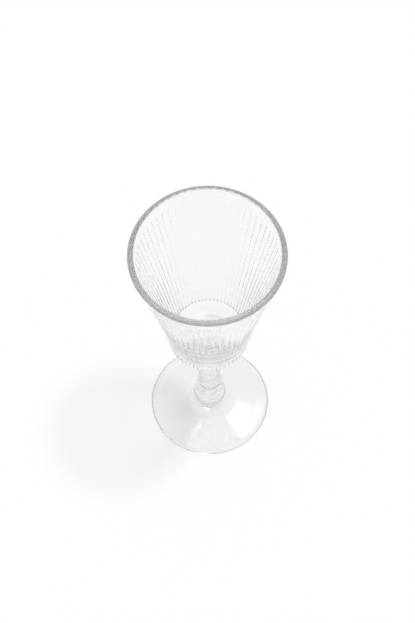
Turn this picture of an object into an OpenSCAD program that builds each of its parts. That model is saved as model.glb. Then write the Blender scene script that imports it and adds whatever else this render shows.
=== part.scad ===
// Champagne glass with a reeded flared bowl, an eight-sided stem and a round foot.
// Millimetres, +Z up, origin on the table under the middle of the foot.

/* [Overall] */
// Height of the whole glass from the table to the rim
glass_height = 177; // [162:1:197]
// Outside diameter of the rim
rim_diameter = 80; // [72:1:90]
// Outside diameter of the foot
foot_diameter = 67.6; // [60:0.2:78]

/* [Bowl] */
// Height of the lower edge of the reeded wall above the table
bowl_base_height = 88.6; // [82:0.2:97]
// Outside diameter of the bowl at its lower edge
bowl_base_diameter = 44.2; // [40:0.2:50]
// Slope of the wall near the rim against its mean slope
flare = 1.18; // [1.08:0.01:1.28]
// Share of the wall height that is curved, the rest is straight
curved_share = 0.59; // [0.45:0.01:0.7]
// Wall thickness at the rim
rim_wall = 3.4; // [2.8:0.1:4]
// Wall thickness where the cavity starts to round in
base_wall = 4.2; // [3.4:0.1:5]
// Height of the start of the rounded cavity floor above the lower edge
cavity_start = 6; // [4.4:0.2:9]
// Radius of the cavity floor against the cavity radius where it starts
cavity_round = 0.4; // [0.3:0.01:0.55]
// Radius of the rounded lower edge of the wall
edge_radius = 1; // [0.8:0.1:1.6]
// Angle of the underside of the bowl against the table
underside_angle = 30; // [22:1:36]

/* [Reeding] */
// Number of reeds round the bowl
reed_count = 60; // [40:1:72]
// Width of the valley between two reeds
valley_width = 1.7; // [1:0.05:1.8]
// Depth of the valley between two reeds
valley_depth = 0.28; // [0.15:0.01:0.4]
// Height of the plain band between the reeds and the rim
plain_band = 7; // [5:0.5:14]
// Length over which a valley runs out at its upper end
run_out = 1.5; // [0.8:0.1:4]

/* [Stem] */
// Width of the shaft across two opposite flats
shaft_flats = 12.2; // [10:0.1:14]
// Width of the lower tier of the stem across two opposite flats
tier_flats = 15; // [13:0.1:17]
// Height at which the shaft starts to widen into the lower tier
shaft_foot = 34.5; // [32:0.5:38]
// Height of the top of the lower tier's upright faces
tier_top = 29; // [27:0.2:30.5]
// Share of the height of the taper above the tier that lies below its bend
bend_rise = 0.45; // [0.3:0.01:0.6]
// Share of the width of that taper that is left at its bend
bend_width = 0.28; // [0.15:0.01:0.4]
// Height of the lower edge of the lower tier
tier_base = 24.2; // [23.4:0.1:25.4]
// Height of the slanted underside of the lower tier
tier_slant = 2; // [1.4:0.1:2.4]
// Inset of the slanted underside on each flat
tier_inset = 0.9; // [0.6:0.1:1.2]
// Diameter of the round collar on the foot
collar_diameter = 18.2; // [17:0.1:20]
// Thickness of the round collar
collar_height = 1.6; // [1.2:0.1:2.2]
// Height of the short round neck between the foot and the collar
neck_height = 2.7; // [2:0.1:3.2]
// Radius of the flare that joins the shaft to the bowl
stem_flare = 9; // [7:0.2:11]

/* [Foot] */
// Thickness of the foot at its edge
foot_edge = 5; // [4.9:0.1:6]
// Radius of the upper rounding of the foot's edge
foot_round = 1.2; // [0.8:0.1:1.3]
// Radius of the lower rounding of the foot's edge
foot_under_round = 3.6; // [2.4:0.1:3.7]
// Width of the flat ring on which the foot stands
contact_width = 2.5; // [1.5:0.5:6]
// Rise of the foot's top from its edge to its middle
foot_rise = 1; // [0.4:0.1:2.5]
// Radius of the hollow between the foot and the stem
foot_cove = 8; // [6.5:0.1:9]
// Diameter of the joint between the stem and the foot
foot_joint_diameter = 17.4; // [16.4:0.1:17.8]
// Hollow of the foot's underside at its middle
foot_hollow = 1.2; // [0.4:0.1:2]

/* [Hidden] */
$fn = 96;
rim_r = rim_diameter/2;
foot_r = foot_diameter/2;
base_r = bowl_base_diameter/2;
base_z = bowl_base_height;

// straight upper wall
mean_slope = (rim_r-base_r)/(glass_height-base_z);
slope = mean_slope*flare;
lean = atan(slope);
lip_r = rim_wall*cos(lean)/2;
lip = [rim_r-lip_r, glass_height-lip_r];
lip_out = lip+lip_r*[cos(lean), -sin(lean)];
lip_in = lip-lip_r*[cos(lean), -sin(lean)];
turn_z = base_z+curved_share*(lip_out[1]-base_z);
turn_r = lip_out[0]-slope*(lip_out[1]-turn_z);

// curved lower wall: an arc that leaves the straight wall smoothly and ends at the lower edge
wall_base = [base_r, base_z];
wall_turn = [turn_r, turn_z];
out_dir = [cos(lean), -sin(lean)];
step = wall_base-wall_turn;
wall_arc = (step*step)/(2*(out_dir*step));
wall_mid = wall_turn+wall_arc*out_dir;
base_dir = (wall_base-wall_mid)/wall_arc;
function wall_at(z) = wall_mid[0]-sqrt(wall_arc*wall_arc-(z-wall_mid[1])*(z-wall_mid[1]));

// cavity
cav_z = base_z+cavity_start;
cav = [wall_at(cav_z)-base_wall, cav_z];
cav_slope = (lip_in[0]-cav[0])/(lip_in[1]-cav[1]);
cav_lean = atan(cav_slope);
floor_r = cavity_round*cav[0];
floor_mid = cav+floor_r*[-cos(cav_lean), sin(cav_lean)];
floor_z = floor_mid[1]-floor_r;

// lower edge and underside
edge_mid = wall_base+edge_radius*base_dir;
under_start = edge_mid+edge_radius*[sin(underside_angle), -cos(underside_angle)];
shaft_r = shaft_flats/2/cos(22.5);
corner_gap = 0.15;
limit_r = shaft_r+corner_gap;
joint_r = limit_r+stem_flare*(1-sin(underside_angle));
joint_z = under_start[1]-(under_start[0]-joint_r)*tan(underside_angle);

// foot and collar
foot_joint_r = foot_joint_diameter/2;
cove_r = foot_joint_r+foot_cove;
top_lean = atan(foot_rise/(foot_r-foot_round));
top_mid = [foot_r-foot_round, foot_edge-foot_round];
top_start = top_mid+foot_round*[sin(top_lean), cos(top_lean)];
cove_z = top_start[1]+(top_start[0]-cove_r)*tan(top_lean)+foot_cove/cos(top_lean);
hub_r = cove_r-foot_cove*sin(top_lean);
hub_z = cove_z-foot_cove*cos(top_lean);
foot_joint_z = cove_z;
contact_r = foot_r-foot_under_round-contact_width;
dish_r = (contact_r*contact_r+foot_hollow*foot_hollow)/(2*foot_hollow);
collar_r = collar_diameter/2;
collar_z = foot_joint_z+neck_height;
collar_top = collar_z+collar_height;

// stem flats
flare_z = joint_z-stem_flare*cos(underside_angle);
flat_flare_share = 0.78;
flat_flare = stem_flare*flat_flare_share;
bend_z = tier_top+bend_rise*(shaft_foot-tier_top);
bend_flats = shaft_flats+bend_width*(tier_flats-shaft_flats);
neck_flats = tier_flats-2*tier_inset;

// reeds: a valley is straight near the rim and turns into its own arc just below the wall's turn
reed_top_z = glass_height-plain_band;
reed_drop = 5;
reed_turn = wall_turn-reed_drop*[sin(lean), cos(lean)];
reed_step = wall_base-reed_turn;
reed_arc = (reed_step*reed_step)/(2*(out_dir*reed_step));
reed_mid = reed_turn+reed_arc*out_dir;
reed_end = wall_base-reed_mid;
reed_len = (reed_top_z-reed_turn[1])/cos(lean);
over = 0.15;
cut_half = valley_width/2*(1+over/valley_depth);
arc_start = 180-lean;
arc_sweep = atan2(reed_end[1], reed_end[0])-arc_start+asin(3*edge_radius/reed_arc);

// Half plane used to keep a section on the right of the axis
module right_side() {
    translate([0, -10]) square([rim_diameter+foot_diameter, glass_height+40]);
}

// Section of the bowl without its reeds
module bowl_section() {
    difference() {
        polygon([[0, joint_z], [joint_r, joint_z], under_start, wall_base, [turn_r+1, base_z],
            [turn_r+1, turn_z], wall_turn, lip_out, lip_in, cav, [0, cav_z]]);
        translate(wall_mid) circle(r = wall_arc, $fn = 720);
        translate(floor_mid) circle(r = floor_r);
        translate([-5, floor_z]) square([5+floor_mid[0], cav_z-floor_z+1]);
    }
    translate(lip) circle(r = lip_r);
    translate(edge_mid) circle(r = edge_radius);
}

// One valley between two reeds: an arc, then a straight run that rises to the surface at its upper end
module valley() {
    translate([reed_mid[0], 0, reed_mid[1]]) rotate([90, 0, 0]) rotate([0, 0, arc_start])
        rotate_extrude(angle = arc_sweep, $fn = 720)
            polygon([[reed_arc-over, -cut_half], [reed_arc+valley_depth, 0], [reed_arc-over, cut_half]]);
    translate([reed_turn[0], 0, reed_turn[1]]) rotate([0, lean, 0]) intersection() {
        linear_extrude(height = reed_len)
            polygon([[over, -cut_half], [-valley_depth, 0], [over, cut_half]]);
        rotate([90, 0, 0]) linear_extrude(height = 3*cut_half, center = true)
            polygon([[2*over, 0], [-2*valley_depth, 0], [-2*valley_depth, reed_len-2*run_out],
                [0, reed_len], [2*over, reed_len]]);
    }
}

module bowl() {
    color([0.86, 0.92, 0.94, 0.45])
    difference() {
        rotate_extrude() intersection() {
            bowl_section();
            right_side();
        }
        for (i = [0 : reed_count-1]) rotate([0, 0, (i+0.5)*360/reed_count]) valley();
    }
}

// Side view of the eight-sided stem, on the right of its axis
module flats_section() {
    s = shaft_flats/2;
    t = tier_flats/2;
    n = neck_flats/2;
    difference() {
        polygon([[0, collar_top-1], [n, collar_top-1], [n, tier_base-tier_slant], [t, tier_base],
            [t, tier_top], [bend_flats/2, bend_z], [s, shaft_foot], [s, flare_z],
            [s+flat_flare, flare_z], [s+flat_flare, joint_z], [0, joint_z]]);
        translate([s+flat_flare, flare_z]) circle(r = flat_flare);
    }
}

// Flats of the stem: the same side view seen from four directions
module flats() {
    intersection_for (k = [0 : 3]) rotate([0, 0, 45*k]) rotate([90, 0, 0])
        linear_extrude(height = 80, center = true) {
            flats_section();
            mirror([1, 0]) flats_section();
        }
}

// Round outline that the flats run out into under the bowl
module stem_limit() {
    rotate_extrude() {
        translate([0, collar_top-1]) square([tier_flats, flare_z-collar_top+1]);
        difference() {
            translate([0, flare_z]) square([joint_r, joint_z-flare_z]);
            translate([limit_r+stem_flare, flare_z]) circle(r = stem_flare);
        }
    }
}

// Round collar and the short neck that stands on the foot
module collar() {
    bead = collar_height/2;
    rotate_extrude() intersection() {
        union() {
            translate([0, foot_joint_z]) square([foot_joint_r, collar_z+bead-foot_joint_z]);
            translate([0, collar_z]) square([collar_r-bead, collar_height]);
            translate([collar_r-bead, collar_z+bead]) circle(r = bead);
        }
        right_side();
    }
}

module stem() {
    color([0.84, 0.9, 0.92, 0.45]) union() {
        intersection() {
            flats();
            stem_limit();
        }
        collar();
    }
}

// Section of the foot: plate with rounded edge, hub with a hollow round it, dished underside
module foot_section() {
    difference() {
        union() {
            polygon([[0, 0], [foot_r-foot_under_round, 0], [foot_r, foot_under_round],
                [foot_r, foot_edge-foot_round], top_start, [hub_r, hub_z], [0, hub_z]]);
            intersection() {
                translate([foot_r-foot_under_round, foot_under_round]) circle(r = foot_under_round);
                square([foot_diameter, foot_under_round]);
            }
            intersection() {
                translate(top_mid) circle(r = foot_round);
                translate([0, top_mid[1]]) square([foot_diameter, foot_edge]);
            }
            difference() {
                translate([0, hub_z]) square([hub_r, cove_z-hub_z]);
                translate([cove_r, cove_z]) circle(r = foot_cove);
            }
        }
        translate([0, foot_hollow-dish_r]) circle(r = dish_r, $fn = 720);
    }
}

module foot() {
    color([0.86, 0.92, 0.94, 0.45])
    rotate_extrude() intersection() {
        foot_section();
        right_side();
    }
}

bowl();
stem();
foot();
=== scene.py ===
"""A champagne glass with a reeded bowl, an eight-sided stem and a round foot, on a pale studio floor."""
import math

import bpy
import numpy as np
from mathutils import Matrix, Vector


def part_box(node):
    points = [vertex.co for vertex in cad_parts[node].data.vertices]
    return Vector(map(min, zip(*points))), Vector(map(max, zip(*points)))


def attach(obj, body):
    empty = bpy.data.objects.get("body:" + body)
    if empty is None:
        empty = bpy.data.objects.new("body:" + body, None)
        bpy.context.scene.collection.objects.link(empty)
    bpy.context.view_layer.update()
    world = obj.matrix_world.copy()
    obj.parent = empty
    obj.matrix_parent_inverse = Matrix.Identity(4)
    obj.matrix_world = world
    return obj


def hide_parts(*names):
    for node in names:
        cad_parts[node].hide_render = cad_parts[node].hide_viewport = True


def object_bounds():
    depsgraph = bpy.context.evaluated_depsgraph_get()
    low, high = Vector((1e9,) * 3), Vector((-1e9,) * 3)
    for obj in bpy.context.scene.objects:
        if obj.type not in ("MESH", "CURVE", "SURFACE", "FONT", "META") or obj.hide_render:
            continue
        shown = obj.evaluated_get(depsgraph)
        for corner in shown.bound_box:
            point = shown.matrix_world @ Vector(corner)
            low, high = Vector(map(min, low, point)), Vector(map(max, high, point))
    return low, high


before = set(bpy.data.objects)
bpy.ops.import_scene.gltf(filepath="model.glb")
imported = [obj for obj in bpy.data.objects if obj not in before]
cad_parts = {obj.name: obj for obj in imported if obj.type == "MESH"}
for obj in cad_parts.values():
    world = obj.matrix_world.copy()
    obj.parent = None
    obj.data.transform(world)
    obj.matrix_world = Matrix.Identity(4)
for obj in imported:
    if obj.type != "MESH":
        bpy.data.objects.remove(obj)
cad_low, cad_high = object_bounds()

# Sizes that the frame gives, in millimetres
MM = 0.001
glass_height = cad_high.z / MM
rim_r = cad_high.x / MM
foot_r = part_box("foot")[1].x / MM
foot_joint_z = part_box("foot")[1].z / MM
joint_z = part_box("stem")[1].z / MM

# Bowl, in millimetres
base_z = 88.6
base_r = 22.1
flare = 1.18
curved_share = 0.59
rim_wall = 3.4
base_wall = 4.2
cavity_start = 6.0
cavity_round = 0.4
edge_radius = 1.0
underside_angle = math.radians(30)

# Lip of the bowl: its power is 2 for a half circle and more for a squarer one, and its ease moves it in
lip_power = 2.3
lip_ease = 0.05

# Reeding of the bowl, in millimetres
reed_count = 60
plain_band = 7.0
run_out = 1.5

# Slope of a reed beside its valley at the lower edge, at the top of the reed's foot, and at its upper end
reed_slopes = 0.4, 0.19, 0.5
reed_foot = 6.0
reed_power = 3.0

# Stem, in millimetres
flat_count = 8
shaft_flats = 12.2
tier_flats = 15.0
shaft_foot = 34.5
tier_top = 29.0
tier_base = 24.2
tier_slant = 2.0
tier_inset = 0.9
bend_rise = 0.45
bend_width = 0.28
collar_r = 9.1
collar_height = 1.6
neck_height = 2.7
neck_top_r = 7.9
stem_flare = 9.0
flat_flare = 7.02
corner_gap = 0.15

# Softness of the stem's edges, in millimetres, and the reach of its corners against its flats
edge_softness = 0.3
corner_softness = 0.08
flare_softness = 0.05
corner_share = 1.07

# Gap that sets the stem apart from its fused neighbours, in millimetres
joint_gap = 0.01

# Foot, in millimetres
foot_edge = 5.0
foot_under_round = 3.0
contact_width = 2.5
foot_rise = 1.0
shoulder_width = 2.4
shoulder_height = 1.6
foot_joint_r = 8.7
hub_r = 15.0
hub_bend_r = 11.3
foot_hollow = 1.2

# Angle in radians by which the foot's hollow stops short of its middle, which a fan of triangles closes
dish_short = 0.002

# Fineness of the meshes: steps of each run of a profile, columns of the foot, rows of the stem in millimetres
underside_steps = 12
edge_steps = 20
wall_steps = 72
straight_steps = 24
run_out_steps = 5
band_steps = 6
lip_steps = 40
inside_steps = 16
floor_steps = 32
stem_step = 0.2
softening_steps = 4
neck_steps = 12
bead_steps = 24
hollow_steps = 6
dish_steps = 20
contact_steps = 4
under_round_steps = 24
upright_steps = 2
shoulder_steps = 28
top_steps = 12
hub_steps = 32
foot_columns = 576

# Glass: its tint, its darkening per metre, its faint ripple, and the lamp's light that each face lets through
glass_tint = 0.956
glass_depth = 3.3
glass_ior = 1.5
ripple_scale = 60.0
ripple_depth = 0.0001
thin_shadow_share = 0.93
thick_shadow_share = 0.99

# Studio: a range of directions and the brightness at both ends of it, for the height and for the back wall
studio_grey = 0.1, 0.45, 0.9, 0.7
back_grey = 0.52, 0.68, 0.0, 0.9
backdrop_grey = 0.8
matt_share = 0.048

# Softbox: its brightness, its reach as slopes to the side and to the back, and its soft edge
softbox_level = 2.9
softbox_reach = (0.02, 0.2), (0.0, 0.45)
softbox_blur = 0.03
least_rise = 0.001

# Floor: its colour, its lift towards white, its painted pool of light that greys it with distance, its half
# width and place in metres
floor_grey = 0.85
floor_lift = 0.41
floor_light_pool = 0.35, 1.4, 1.0, 0.82
floor_half = 4.0
floor_z = -0.0001

# Lamp: its direction, its strength and its width in degrees
key_from = (0.29, 0.09, 0.953)
key_strength = 2.09
key_angle = 7

# Camera of the photograph: its frame in pixels, its focal length in pixels, and its place in millimetres
FRAME_LONG_SIDE = 623
focal_px = 1790.166
camera_pitch = 1.09097455
camera_roll = -0.01745588
camera_distance = 942.03
camera_target = (-0.468413, 0.0, 114.574671)


def line(start, end, steps):
    """Points from start to end, both included."""
    share = np.linspace(0, 1, steps + 1)[:, None]
    return np.array(start) * (1 - share) + np.array(end) * share


def arc(mid, radius, start, end, steps):
    """Points on a circle between two angles in radians, both included."""
    angle = np.linspace(start, end, steps + 1)
    return np.stack([mid[0] + radius * np.cos(angle), mid[1] + radius * np.sin(angle)], 1)


def chain(*runs):
    """Joins runs of points, each of which starts where the one before it ends."""
    return np.vstack([runs[0]] + [run[1:] for run in runs[1:]])


def angle_of(point, mid):
    """Angle in radians at which a point is seen from mid."""
    return math.atan2(point[1] - mid[1], point[0] - mid[0])


def ring_points(radius, height, angle):
    """Points of rings from arrays of radius, height and angle."""
    return np.stack(np.broadcast_arrays(radius * np.cos(angle), radius * np.sin(angle), height), -1)


def soft_min(a, b, width):
    """The lesser of a and b, rounded where they are closer than about width."""
    return (a + b - np.sqrt((a - b) ** 2 + width**2)) / 2


def make_piece(name, rings, start_mid, end_mid, material, fused_ends):
    """A closed smooth mesh from rings of points, with a fan of triangles at each end.

    The face attribute "fused" is 1 on an end that is fused to the next piece and 0 everywhere else."""
    rows, columns, _ = rings.shape
    points = np.vstack([rings.reshape(-1, 3), [start_mid, end_mid]]) * MM
    index = np.arange(rows * columns).reshape(rows, columns)
    after = np.roll(index, -1, axis=1)
    quads = np.stack([index[:-1], after[:-1], after[1:], index[1:]], -1).reshape(-1, 4)
    first, last = rows * columns, rows * columns + 1
    start_fan = [(first, b, a) for a, b in zip(index[0].tolist(), after[0].tolist())]
    end_fan = [(last, a, b) for a, b in zip(index[-1].tolist(), after[-1].tolist())]
    mesh = bpy.data.meshes.new(name)
    mesh.from_pydata(points.tolist(), [], quads.tolist() + start_fan + end_fan)
    mesh.materials.append(material)
    fused = np.zeros(len(mesh.polygons))
    fused[len(quads):len(quads) + columns] = fused_ends[0]
    fused[len(quads) + columns:] = fused_ends[1]
    mesh.attributes.new("fused", "FLOAT", "FACE").data.foreach_set("value", fused)
    mesh.polygons.foreach_set("use_smooth", np.ones(len(mesh.polygons), bool))
    mesh.update()
    piece = bpy.data.objects.new(name, mesh)
    bpy.context.scene.collection.objects.link(piece)
    return piece


def make_bowl(material):
    """The bowl: underside, wall, lip and cavity as one profile, with the valleys pressed into the wall."""
    # Wall: straight near the rim, with an arc below it, and a rounded lower edge
    mean_slope = (rim_r - base_r) / (glass_height - base_z)
    lean = math.atan(mean_slope * flare)
    out = np.array([math.cos(lean), -math.sin(lean)])
    lip_r = rim_wall * math.cos(lean) / 2
    lip = np.array([rim_r, glass_height]) - lip_r - lip_ease
    lip_out, lip_in = lip + lip_r * out, lip - lip_r * out
    turn_z = base_z + curved_share * (lip_out[1] - base_z)
    turn = np.array([lip_out[0] - math.tan(lean) * (lip_out[1] - turn_z), turn_z])
    base = np.array([base_r, base_z])
    step = base - turn
    wall_arc = step @ step / (2 * out @ step)
    wall_mid = turn + wall_arc * out
    base_dir = (wall_mid - base) / wall_arc
    edge_mid = base - edge_radius * base_dir
    edge_start = underside_angle - math.pi / 2
    edge_end = math.atan2(base_dir[1], base_dir[0])
    under = edge_mid + edge_radius * np.array([math.cos(edge_start), math.sin(edge_start)])

    # Cavity: a cone with a rounded floor
    cavity_z = base_z + cavity_start
    cavity_r = wall_mid[0] - math.sqrt(wall_arc**2 - (cavity_z - wall_mid[1]) ** 2) - base_wall
    cavity = np.array([cavity_r, cavity_z])
    cavity_lean = math.atan((lip_in[0] - cavity[0]) / (lip_in[1] - cavity[1]))
    round_r = cavity_round * cavity[0]
    round_mid = cavity + round_r * np.array([-math.cos(cavity_lean), math.sin(cavity_lean)])

    shaft_r = shaft_flats / 2 / math.cos(math.pi / flat_count)
    joint_r = shaft_r + corner_gap + stem_flare * (1 - math.sin(underside_angle))
    reed_top = lip_out + (turn - lip_out) * (plain_band - lip_r) / (lip_out[1] - turn[1])
    reed_end = reed_top - run_out * np.array([math.sin(lean), math.cos(lean)])

    underside = line((joint_r, joint_z), under, underside_steps)
    edge = arc(edge_mid, edge_radius, edge_start, edge_end, edge_steps)
    wall_start = angle_of(base, wall_mid) % (2 * math.pi)
    wall = arc(wall_mid, wall_arc, wall_start, math.pi - lean, wall_steps)
    straight = line(turn, reed_end, straight_steps)
    runs_out = line(reed_end, reed_top, run_out_steps)
    band = line(reed_top, lip_out, band_steps)
    lip_turn = np.linspace(0, math.pi, lip_steps + 1)[:, None]
    across, over = np.cos(lip_turn), np.sin(lip_turn)
    lip_up = np.array([-out[1], out[0]])
    lip_across = np.sign(across) * np.abs(across) ** (2 / lip_power)
    lip_round = lip + lip_r * (lip_across * out + over ** (2 / lip_power) * lip_up)
    inside = line(lip_in, cavity, inside_steps)
    floor = arc(round_mid, round_r, -cavity_lean, -math.pi / 2, floor_steps)
    profile = chain(underside, edge, wall, straight, runs_out, band, lip_round, inside, floor)

    # Columns of one reed, from 0 in the middle of its valley to 1 on its crest, and their depth
    side = np.array([0.05, 0.12, 0.22, 0.36, 0.52, 0.7, 0.86])
    column = np.concatenate([-side[::-1], [0], side, [1.0]])
    half_pitch = math.pi / reed_count
    radius = profile[:, :1]
    valley_mid = (2 * np.arange(reed_count) + 1) * half_pitch
    angle = (valley_mid[:, None] + column * half_pitch).reshape(1, -1)
    slope = np.interp(profile[:, 1:], (base_z, base_z + reed_foot, reed_top[1]), reed_slopes)
    cut = slope / reed_power * half_pitch * radius * (1 - np.abs(column)) ** reed_power

    # The valleys end where the lower edge rounds away from them, and rise to the surface at their upper end
    turned = np.linspace(edge_end - edge_start, 0, len(edge))
    recess = np.zeros(len(profile))
    share = np.zeros(len(profile))
    edge_from = len(underside) - 1
    wall_from = edge_from + len(edge) - 1
    end_from = wall_from + len(wall) + len(straight) - 2
    recess[edge_from:wall_from + 1] = edge_radius * (1 - np.cos(turned))
    share[edge_from:end_from + 1] = 1
    share[end_from:end_from + len(runs_out)] = np.linspace(1, 0, len(runs_out))
    limit = share * cut.max()
    sunk = np.clip(cut - recess[:, None], 0, limit[:, None])
    sunk = np.tile(sunk, (1, reed_count))

    along = np.gradient(profile, axis=0)
    along /= np.linalg.norm(along, axis=1)[:, None]
    rings = ring_points(radius - sunk * along[:, 1:], profile[:, 1:] + sunk * along[:, :1], angle)
    ends = (0, 0, joint_z), (0, 0, round_mid[1] - round_r)
    return make_piece("bowl_glass", rings, *ends, material, (1, 0))


def make_stem(material):
    """The stem: a round collar below, eight flats above it that run out into a round flare under the bowl."""
    shaft, tier = shaft_flats / 2, tier_flats / 2
    neck = tier - tier_inset
    limit_r = shaft / math.cos(math.pi / flat_count) + corner_gap
    flare_z = joint_z - stem_flare * math.cos(underside_angle)
    bend_z = tier_top + bend_rise * (shaft_foot - tier_top)
    bend = shaft + bend_width * (tier - shaft)
    collar_z = foot_joint_z + neck_height
    bead = collar_height / 2
    bead_mid = np.array([collar_r - bead, collar_z + bead])

    # Columns of one flat, from 0 in its middle to 1 at its corner, closer together near the corner
    flat = 2 * math.pi / flat_count
    half_steps = np.array([0.14, 0.28, 0.42, 0.56, 0.7, 0.82, 0.9, 0.95, 0.98])
    corner_steps = np.concatenate([[-1], -half_steps[::-1], [0], half_steps])
    angle = (np.arange(flat_count)[:, None] * flat + corner_steps[None, :] * flat / 2).ravel()
    off_flat = np.tile(corner_steps * flat / 2, flat_count)

    # Half the width across flats at each height, with its edges softened
    height = np.arange(collar_z + bead, joint_z + stem_step / 2, stem_step)
    height[-1] = joint_z - joint_gap
    width = np.interp(height, (tier_base - tier_slant, tier_base, tier_top, bend_z, shaft_foot),
                      (neck, tier, tier, bend, shaft))
    above = height > flare_z
    rise = np.minimum(height[above] - flare_z, flat_flare)
    width[above] = shaft + flat_flare - np.sqrt(flat_flare**2 - rise**2)
    reach = np.arange(-softening_steps, softening_steps + 1) * stem_step
    kernel = np.exp(-((reach / edge_softness) ** 2) / 2)
    padded = np.pad(width, softening_steps, mode="edge")
    width = np.convolve(padded, kernel / kernel.sum(), mode="valid")

    # The flats with soft corners, inside the round flare
    flats = width[:, None] / np.cos(off_flat)[None, :]
    flats = soft_min(flats, width[:, None] * corner_share, corner_softness)
    rise = np.clip(height - flare_z, 0, stem_flare)
    limit = limit_r + stem_flare - np.sqrt(stem_flare**2 - rise**2)
    flats[above] = soft_min(flats[above], limit[above][:, None], flare_softness)
    flats[-1] = limit[-1]

    # The collar: a tapering neck, a rounded edge, and a flat top that meets the flats in a small hollow
    collar_top = collar_z + collar_height
    first = np.searchsorted(height, collar_top + 2 * edge_softness)
    hollow_mid = flats[first][None, :] + edge_softness
    bead_start = -math.acos((neck_top_r - bead_mid[0]) / bead)
    bead_turn = np.linspace(bead_start, math.pi / 2, bead_steps + 1)[:, None]
    bead_r = bead_mid[0] + bead * np.cos(bead_turn)
    bead_z = bead_mid[1] + bead * np.sin(bead_turn)
    neck_z = np.linspace(foot_joint_z, bead_z[0, 0], neck_steps + 1)[:-1, None]
    neck_z[0] += joint_gap
    neck_r = np.linspace(foot_joint_r, neck_top_r, neck_steps + 1)[:-1, None]
    inwards = np.array([0.15, 0.5, 0.85, 0.97])[:, None]
    top_r = bead_mid[0] + (hollow_mid - bead_mid[0]) * inwards
    hollow_turn = np.linspace(-math.pi / 2, -math.pi, hollow_steps + 1)[:, None]
    hollow_r = hollow_mid + edge_softness * np.cos(hollow_turn)
    hollow_z = collar_top + edge_softness * (1 + np.sin(hollow_turn))
    rings = np.vstack([
        ring_points(neck_r, neck_z, angle),
        ring_points(bead_r, bead_z, angle),
        ring_points(top_r, collar_top, angle),
        ring_points(hollow_r, hollow_z, angle),
        ring_points(flats[first:], height[first:, None], angle),
    ])
    ends = (0, 0, foot_joint_z + joint_gap), (0, 0, joint_z - joint_gap)
    return make_piece("stem_glass", rings, *ends, material, (1, 1))


def make_foot(material):
    """The foot: dished underside, contact ring, rounded edge, gently rising top and a curved hub."""
    under_r = foot_r - foot_under_round
    contact_r = under_r - contact_width
    dish_r = (contact_r**2 + foot_hollow**2) / (2 * foot_hollow)
    dish_mid = np.array([0, foot_hollow - dish_r])
    dish_end = math.atan2(-dish_mid[1], contact_r)

    top_r = foot_r - shoulder_width
    shoulder_mid = np.array([top_r, foot_edge - shoulder_height])
    turn = np.linspace(0, math.pi / 2, shoulder_steps + 1)[:, None]
    shoulder = shoulder_mid + np.hstack([shoulder_width * np.cos(turn), shoulder_height * np.sin(turn)])

    top_slope = foot_rise / top_r
    hub = np.array([hub_r, foot_edge + foot_rise * (foot_r - hub_r) / top_r])
    hub_bend = np.array([hub_bend_r, hub[1] + (hub_r - hub_bend_r) * top_slope])
    hub_end = np.array([foot_joint_r, foot_joint_z])
    rise = np.linspace(0, 1, hub_steps + 1)[:, None]
    hub_curve = (1 - rise) ** 2 * hub + 2 * rise * (1 - rise) * hub_bend + rise**2 * hub_end

    profile = chain(
        arc(dish_mid, dish_r, math.pi / 2 - dish_short, dish_end, dish_steps),
        line((contact_r, 0), (under_r, 0), contact_steps),
        arc((under_r, foot_under_round), foot_under_round, -math.pi / 2, 0, under_round_steps),
        line((foot_r, foot_under_round), (foot_r, shoulder_mid[1]), upright_steps),
        shoulder,
        line(shoulder[-1], hub, top_steps),
        hub_curve,
    )
    angle = np.linspace(0, 2 * math.pi, foot_columns, endpoint=False)
    rings = ring_points(profile[:, :1], profile[:, 1:], angle[None, :])
    ends = (0, 0, foot_hollow), (0, 0, foot_joint_z)
    return make_piece("foot_glass", rings, *ends, material, (0, 1))


def set_socket(tree, socket, value):
    """Gives a socket a number, or links it to the output of another node."""
    if isinstance(value, bpy.types.NodeSocket):
        tree.links.new(value, socket)
    else:
        socket.default_value = value


def math_node(tree, operation, first, second):
    """Output of a Math node."""
    node = tree.nodes.new("ShaderNodeMath")
    node.operation = operation
    set_socket(tree, node.inputs[0], first)
    set_socket(tree, node.inputs[1], second)
    return node.outputs[0]


def map_node(tree, value, limits, interpolation):
    """Output of a Map Range node, whose limits are those that go in and then those that come out."""
    node = tree.nodes.new("ShaderNodeMapRange")
    node.interpolation_type = interpolation
    set_socket(tree, node.inputs["Value"], value)
    for name, limit in zip(("From Min", "From Max", "To Min", "To Max"), limits):
        set_socket(tree, node.inputs[name], limit)
    return node.outputs[0]


def mix_node(tree, share, first, second):
    """Output of a Mix Shader node."""
    node = tree.nodes.new("ShaderNodeMixShader")
    for socket, value in zip(node.inputs, (share, first, second)):
        tree.links.new(value, socket)
    return node.outputs[0]


def transparent_node(tree, share):
    """Output of a shader that lets a share of the light straight through."""
    node = tree.nodes.new("ShaderNodeBsdfTransparent")
    node.inputs["Color"].default_value = (share, share, share, 1)
    return node.outputs[0]


def new_material(name):
    """An empty material, its node tree and its output node."""
    material = bpy.data.materials.new(name)
    material.use_nodes = True
    tree = material.node_tree
    tree.nodes.clear()
    return material, tree, tree.nodes.new("ShaderNodeOutputMaterial")


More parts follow.
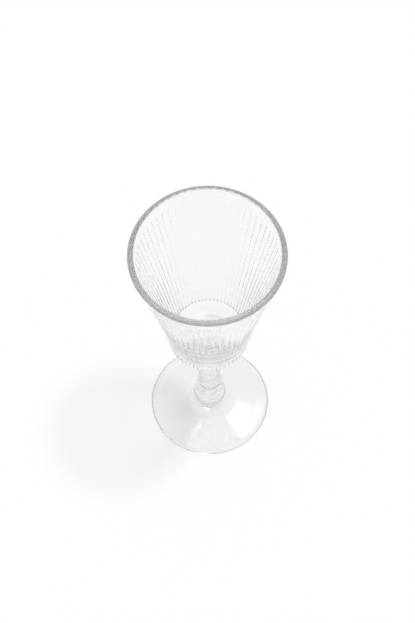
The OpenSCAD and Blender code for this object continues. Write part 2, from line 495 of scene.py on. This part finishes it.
def clear_glass(name, shadow_share):
    """Colourless pressed glass with a faint ripple, darker where a ray's way in it is long.

    Each face lets a share of the lamp's light through to the floor, and fused faces let all light pass."""
    material, tree, output = new_material(name)
    glass = tree.nodes.new("ShaderNodeBsdfPrincipled")
    glass.inputs["Base Color"].default_value = (glass_tint, glass_tint, glass_tint, 1)
    glass.inputs["Roughness"].default_value = 0.0
    glass.inputs["IOR"].default_value = glass_ior
    glass.inputs["Transmission Weight"].default_value = 1.0
    place = tree.nodes.new("ShaderNodeTexCoord")
    ripple = tree.nodes.new("ShaderNodeTexNoise")
    ripple.inputs["Scale"].default_value = ripple_scale
    ripple.inputs["Detail"].default_value = 1.0
    tree.links.new(place.outputs["Object"], ripple.inputs["Vector"])
    bump = tree.nodes.new("ShaderNodeBump")
    bump.inputs["Distance"].default_value = ripple_depth
    tree.links.new(ripple.outputs["Fac"], bump.inputs["Height"])
    tree.links.new(bump.outputs["Normal"], glass.inputs["Normal"])
    path = tree.nodes.new("ShaderNodeLightPath")
    passed = transparent_node(tree, shadow_share)
    lit = mix_node(tree, path.outputs["Is Shadow Ray"], glass.outputs[0], passed)
    fused = tree.nodes.new("ShaderNodeAttribute")
    fused.attribute_name = "fused"
    joined = mix_node(tree, fused.outputs["Fac"], lit, transparent_node(tree, 1))
    tree.links.new(joined, output.inputs["Surface"])
    depth = tree.nodes.new("ShaderNodeVolumeAbsorption")
    depth.inputs["Color"].default_value = (0, 0, 0, 1)
    depth.inputs["Density"].default_value = glass_depth
    tree.links.new(depth.outputs[0], output.inputs["Volume"])
    return material


def floor_white():
    """Pale matt floor that keeps shadows, with a painted pool of light: white round the glass and greyer far
    from it.
    """
    material, tree, output = new_material("floor_white")
    place = tree.nodes.new("ShaderNodeNewGeometry")
    away = tree.nodes.new("ShaderNodeVectorMath")
    away.operation = "LENGTH"
    tree.links.new(place.outputs["Position"], away.inputs[0])
    # Painted pool of light: the floor's colour and its lift grow darker with distance from the glass
    light_pool = map_node(tree, away.outputs["Value"], floor_light_pool, "SMOOTHSTEP")
    grey = math_node(tree, "MULTIPLY", light_pool, floor_grey)
    shade = tree.nodes.new("ShaderNodeCombineColor")
    for channel in shade.inputs:
        tree.links.new(grey, channel)
    matt = tree.nodes.new("ShaderNodeBsdfDiffuse")
    tree.links.new(shade.outputs[0], matt.inputs["Color"])

    # The lift shows straight, through glass and in reflections, and lights nothing else
    path = tree.nodes.new("ShaderNodeLightPath")
    seen = math_node(tree, "MAXIMUM", path.outputs["Is Camera Ray"], path.outputs["Is Transmission Ray"])
    shown = math_node(tree, "MAXIMUM", seen, path.outputs["Is Glossy Ray"])
    lift = math_node(tree, "MULTIPLY", shown, floor_lift)
    glow = tree.nodes.new("ShaderNodeEmission")
    # The painted pool of light dims the lift as well
    tree.links.new(math_node(tree, "MULTIPLY", lift, light_pool), glow.inputs["Strength"])
    add = tree.nodes.new("ShaderNodeAddShader")
    tree.links.new(matt.outputs[0], add.inputs[0])
    tree.links.new(glow.outputs[0], add.inputs[1])
    tree.links.new(add.outputs[0], output.inputs["Surface"])
    return material


def make_floor():
    """A wide floor just under the foot."""
    corners = [(x * floor_half, y * floor_half, floor_z) for x, y in ((-1, -1), (1, -1), (1, 1), (-1, 1))]
    mesh = bpy.data.meshes.new("floor")
    mesh.from_pydata(corners, [], [(0, 1, 2, 3)])
    mesh.materials.append(floor_white())
    floor = bpy.data.objects.new("floor", mesh)
    bpy.context.scene.collection.objects.link(floor)


def make_world():
    """A pale studio, a little darker overhead, with a pale back wall and a softbox above.

    Matt surfaces get a small share of this light, and the camera sees a plain grey backdrop in its place."""
    world = bpy.data.worlds.new("studio")
    bpy.context.scene.world = world
    world.use_nodes = True
    tree = world.node_tree
    place = tree.nodes.new("ShaderNodeTexCoord")
    split = tree.nodes.new("ShaderNodeSeparateXYZ")
    tree.links.new(place.outputs["Generated"], split.inputs[0])

    # The softbox lies inside four soft edges
    up = math_node(tree, "MAXIMUM", split.outputs["Z"], least_rise)
    edges = []
    for axis, (near, far) in zip("XY", softbox_reach):
        slope = math_node(tree, "DIVIDE", split.outputs[axis], up)
        for edge, blur in ((near, softbox_blur), (far, -softbox_blur)):
            edges.append(map_node(tree, slope, (edge - blur, edge + blur), "SMOOTHSTEP"))
    inside = edges[0]
    for edge in edges[1:]:
        inside = math_node(tree, "MULTIPLY", inside, edge)

    grey = map_node(tree, split.outputs["Z"], studio_grey, "SMOOTHSTEP")
    back = map_node(tree, split.outputs["Y"], back_grey, "SMOOTHSTEP")
    walls = math_node(tree, "MAXIMUM", grey, back)
    level = map_node(tree, inside, (0, 1, walls, softbox_level), "LINEAR")
    path = tree.nodes.new("ShaderNodeLightPath")
    weaker = map_node(tree, path.outputs["Is Diffuse Ray"], (0, 1, 1, matt_share), "LINEAR")
    strength = math_node(tree, "MULTIPLY", level, weaker)
    shown = map_node(tree, path.outputs["Is Camera Ray"], (0, 1, strength, backdrop_grey), "LINEAR")
    background = tree.nodes["Background"]
    background.inputs["Color"].default_value = (1, 1, 1, 1)
    tree.links.new(shown, background.inputs["Strength"])


def make_lamp():
    """A soft lamp high on the right, slightly behind the glass, that shows in no reflection."""
    lamp = bpy.data.lights.new("key", "SUN")
    lamp.energy = key_strength
    lamp.angle = math.radians(key_angle)
    lamp.cycles.use_multiple_importance_sampling = False
    key = bpy.data.objects.new("key", lamp)
    bpy.context.scene.collection.objects.link(key)
    key.rotation_euler = (-Vector(key_from)).to_track_quat("-Z", "Y").to_euler()
    key.visible_glossy = False
    key.visible_transmission = False


def make_camera():
    """The photograph's camera, looking down on the glass with a slight roll."""
    forward = Vector((0, math.cos(camera_pitch), -math.sin(camera_pitch)))
    right = Vector((1, 0, 0))
    up = right.cross(forward)
    turn = Matrix.Rotation(camera_roll, 3, -forward)
    right, up = turn @ right, turn @ up
    data = bpy.data.cameras.new("camera")
    data.sensor_width = 36.0
    data.lens = focal_px / FRAME_LONG_SIDE * data.sensor_width
    data.clip_start = 0.01
    data.clip_end = 50.0
    camera = bpy.data.objects.new("camera", data)
    bpy.context.scene.collection.objects.link(camera)
    place = Matrix((right, up, -forward)).transposed().to_4x4()
    place.translation = (Vector(camera_target) - camera_distance * forward) * MM
    camera.matrix_world = place
    bpy.context.scene.camera = camera


make_camera()
make_floor()
make_world()
make_lamp()
thin_glass = clear_glass("thin_glass", thin_shadow_share)
thick_glass = clear_glass("thick_glass", thick_shadow_share)
for node, make, glass in (("bowl", make_bowl, thin_glass), ("stem", make_stem, thick_glass),
                          ("foot", make_foot, thick_glass)):
    piece = make(glass)
    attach(piece, "root")
    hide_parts(node)

# Light goes through many walls of glass, and the floor's shadow is left to the lamp
scene = bpy.context.scene
scene.view_settings.view_transform = "Standard"
scene.cycles.use_denoising = True
scene.cycles.caustics_reflective = False
scene.cycles.caustics_refractive = False
scene.cycles.max_bounces = 64
scene.cycles.transmission_bounces = 48
scene.cycles.glossy_bounces = 48
scene.cycles.transparent_max_bounces = 32
